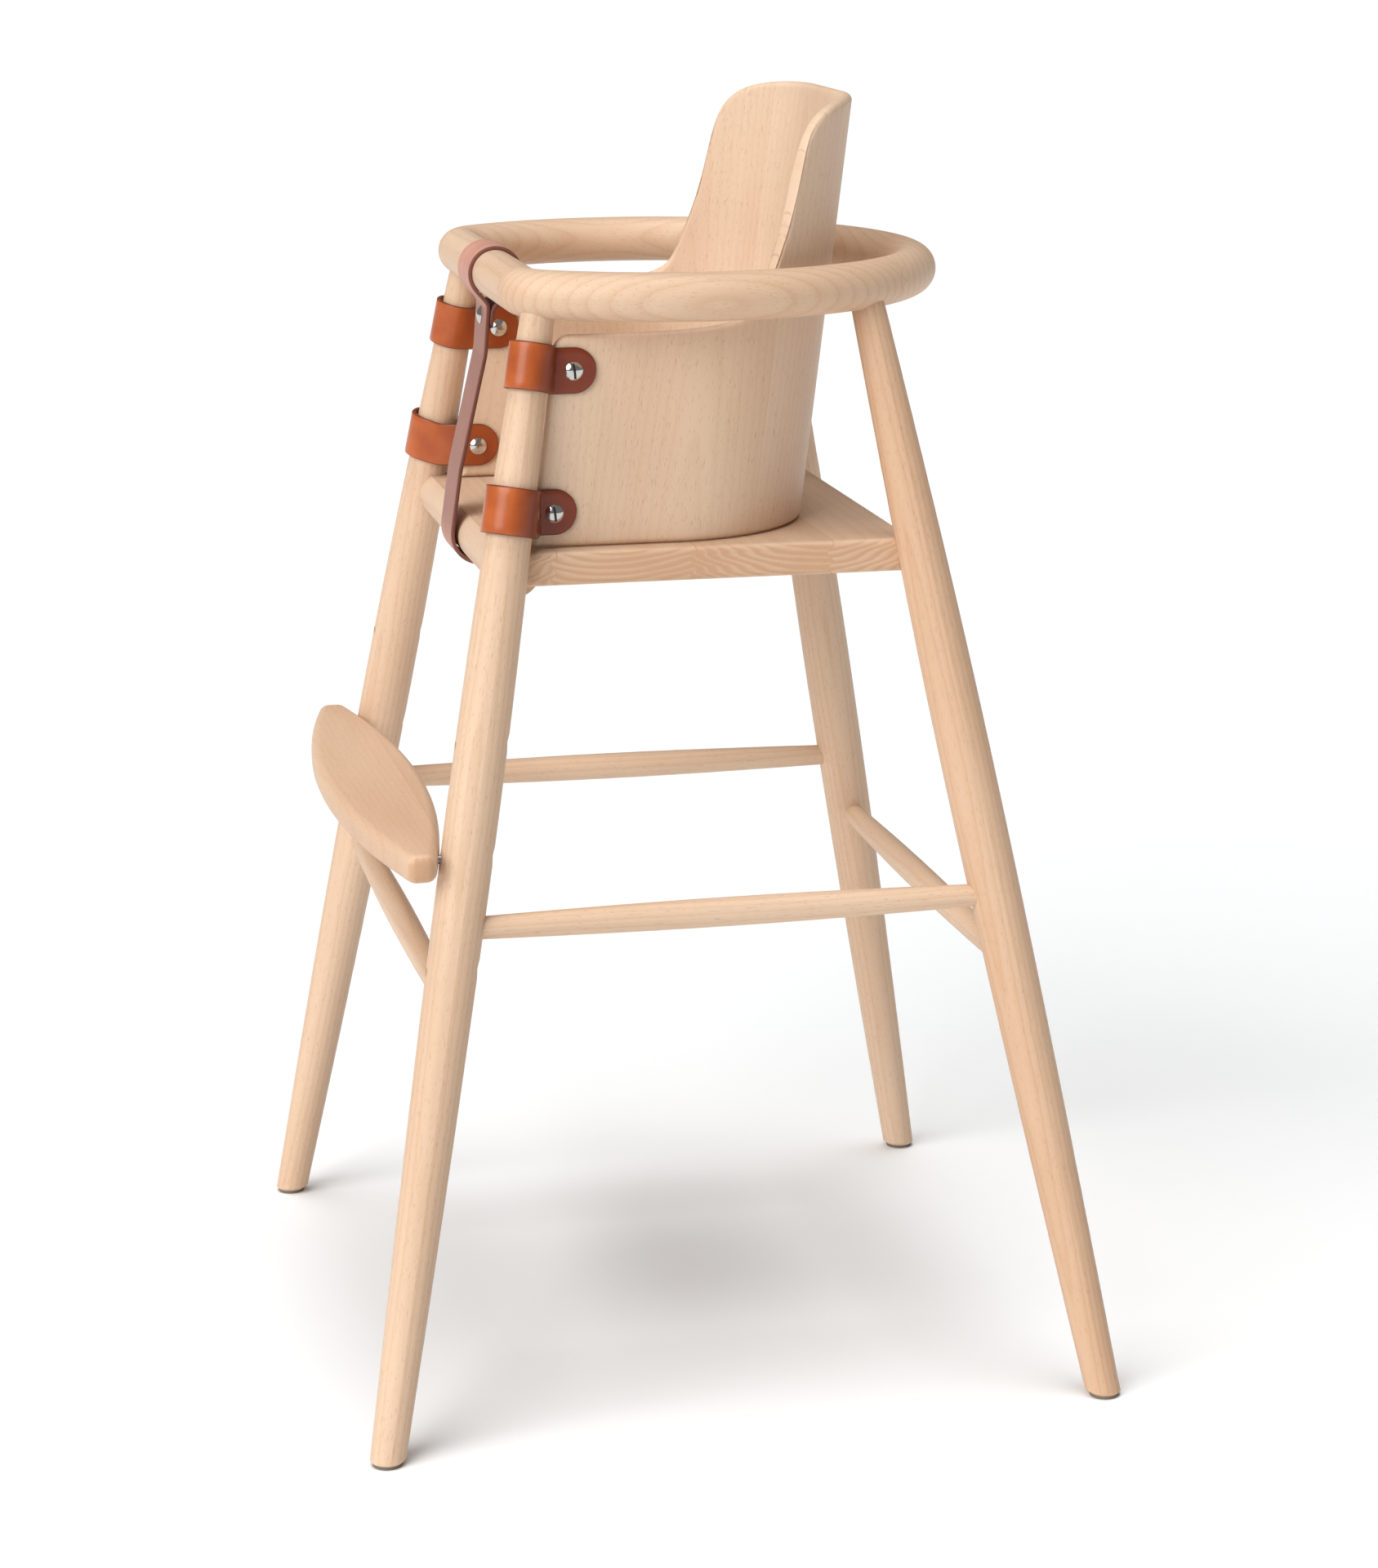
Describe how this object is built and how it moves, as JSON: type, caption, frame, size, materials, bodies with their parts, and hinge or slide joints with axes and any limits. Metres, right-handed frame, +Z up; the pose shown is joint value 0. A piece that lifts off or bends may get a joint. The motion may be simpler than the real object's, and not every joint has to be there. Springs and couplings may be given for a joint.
{
  "type": "baby high chair",
  "caption": "Wooden baby high chair with splayed turned legs, a round glued hoop at table height, a bent plywood seat shell on leather tabs, a leather crotch strap and an adjustable footrest.",
  "frame": {"origin": "on the floor under the middle of the chair's footprint", "axes": "+Z up, the chair faces -Y, +X is the chair's own left"},
  "size_m": [0.5614, 0.5312, 0.8907],
  "materials": {
    "beech_wood": "pale beech, matt clear oil",
    "plywood": "bent beech plywood, matt clear lacquer",
    "tan_leather": "smooth tan leather",
    "mauve_leather": "matt dusty pink-brown leather",
    "bright_metal": "polished nickel",
    "dark_steel": "dark zinc",
    "brass": "plain brass",
    "glide": "matt dark plastic"
  },
  "bodies": {
    "chair": {"hoop_front": "beech_wood", "hoop_left": "beech_wood", "hoop_right": "beech_wood", "hoop_back": "beech_wood", "leg_front_left": "beech_wood", "leg_front_right": "beech_wood", "leg_back_left": "beech_wood", "leg_back_right": "beech_wood", "glide_front_left": "glide", "glide_front_right": "glide", "glide_back_left": "glide", "glide_back_right": "glide", "stretcher_left": "beech_wood", "stretcher_right": "beech_wood", "stretcher_front": "beech_wood", "stretcher_back": "beech_wood", "seat_rail": "beech_wood", "seat_board": "beech_wood", "seat_dowels": "beech_wood", "rail_pins": "dark_steel", "seat_shell": "plywood", "tab_upper_left": "tan_leather", "tab_upper_right": "tan_leather", "tab_lower_left": "tan_leather", "tab_lower_right": "tan_leather", "tab_screws": "bright_metal", "tab_posts": "bright_metal", "crotch_strap": "mauve_leather", "strap_stud_cap": "bright_metal", "strap_stud_post": "bright_metal", "strap_screw": "bright_metal", "strap_washer": "bright_metal"},
    "footrest_board": {"footrest": "beech_wood", "footrest_inserts": "brass"},
    "left_bolt": {"bolt_left": "dark_steel"},
    "right_bolt": {"bolt_right": "dark_steel"}
  },
  "joints": [
    {"name": "footrest_height", "type": "slide", "parent": "chair", "child": "footrest_board", "axis": [0, 0.1435, 0.9897], "range_m": [-0.07477, 0.07477]},
    {"name": "bolt_left_draw", "type": "slide", "parent": "chair", "child": "left_bolt", "axis": [0, 1, 0], "range_m": [0, 0.055]},
    {"name": "bolt_right_draw", "type": "slide", "parent": "chair", "child": "right_bolt", "axis": [0, 1, 0], "range_m": [0, 0.055]}
  ]
}
